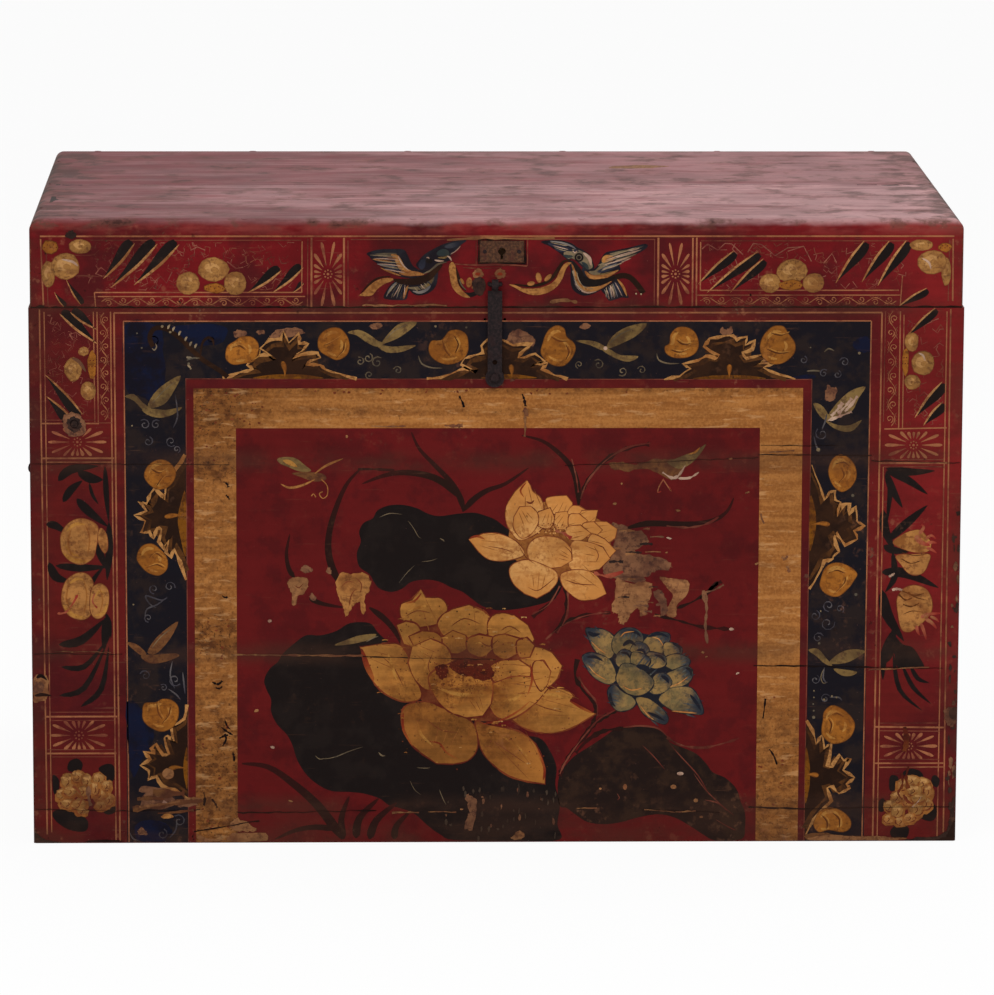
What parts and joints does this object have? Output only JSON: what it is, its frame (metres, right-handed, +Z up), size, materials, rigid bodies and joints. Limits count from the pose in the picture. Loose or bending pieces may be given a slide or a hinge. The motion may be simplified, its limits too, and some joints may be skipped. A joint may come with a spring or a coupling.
{
  "type": "painted wooden chest",
  "caption": "Painted wooden trunk with a hinged lid, an iron hasp, a let-in lock plate and drop handles, decorated with flowers, birds and fruit.",
  "frame": {"origin": "middle of the outside box, at floor level", "axes": "+X to the right seen from the front, the front faces -Y, +Z up"},
  "size_m": [0.843, 0.5092, 0.558],
  "materials": {
    "painted_wood": "worn satin paint",
    "bare_wood": "dry sawn wood",
    "bamboo": "matte",
    "forged_iron": "dark forged",
    "plate_iron": "aged olive brown",
    "nail_iron": "dark forged"
  },
  "bodies": {
    "chest": {"back_base_board": "painted_wood", "back_lower_board": "painted_wood", "back_middle_board": "painted_wood", "back_upper_board": "painted_wood", "bottom_batten_left": "bare_wood", "bottom_batten_middle": "bare_wood", "bottom_batten_right": "bare_wood", "bottom_board_back": "bare_wood", "bottom_board_front": "bare_wood", "bottom_board_middle": "bare_wood", "bottom_nails": "nail_iron", "front_base_board": "painted_wood", "front_lower_board": "painted_wood", "front_middle_board": "painted_wood", "front_upper_board": "painted_wood", "left_base_board": "painted_wood", "left_handle_eyes": "forged_iron", "left_handle_roses": "forged_iron", "left_hinge_lower_leaf": "forged_iron", "left_hinge_pin": "forged_iron", "left_lower_board": "painted_wood", "left_middle_board": "painted_wood", "left_upper_board": "painted_wood", "lower_hinge_nails": "nail_iron", "right_base_board": "painted_wood", "right_handle_eyes": "forged_iron", "right_handle_roses": "forged_iron", "right_hinge_lower_leaf": "forged_iron", "right_hinge_pin": "forged_iron", "right_lower_board": "painted_wood", "right_middle_board": "painted_wood", "right_upper_board": "painted_wood", "wall_pegs": "bamboo"},
    "lid": {"hasp_staple": "forged_iron", "left_hinge_upper_leaf": "forged_iron", "lid_back_rail": "painted_wood", "lid_cleat_nails": "nail_iron", "lid_front_rail": "painted_wood", "lid_left_cleat": "bare_wood", "lid_left_rail": "painted_wood", "lid_nails": "nail_iron", "lid_pegs": "bamboo", "lid_right_cleat": "bare_wood", "lid_right_rail": "painted_wood", "lid_top_back_board": "painted_wood", "lid_top_front_board": "painted_wood", "lock_plate": "plate_iron", "lock_plate_nails": "nail_iron", "right_hinge_upper_leaf": "forged_iron", "upper_hinge_nails": "nail_iron"},
    "hasp": {"hasp": "forged_iron"},
    "left_handle": {"left_handle": "forged_iron"},
    "right_handle": {"right_handle": "forged_iron"}
  },
  "joints": [
    {"name": "lid_hinge", "type": "hinge", "parent": "chest", "child": "lid", "pos_m": [0, 0.2502, 0.48], "axis": [-1, 0, 0], "range_deg": [0, 105]},
    {"name": "hasp_swing", "type": "hinge", "parent": "lid", "child": "hasp", "pos_m": [-0.002, -0.25, 0.5015], "axis": [-1, 0, 0], "range_deg": [0, 180]},
    {"name": "left_handle_swing", "type": "hinge", "parent": "chest", "child": "left_handle", "pos_m": [-0.41575, 0.00025, 0.305], "axis": [0, 1, 0], "range_deg": [0, 180]},
    {"name": "right_handle_swing", "type": "hinge", "parent": "chest", "child": "right_handle", "pos_m": [0.41575, 0.00025, 0.305], "axis": [0, -1, 0], "range_deg": [0, 180]}
  ]
}
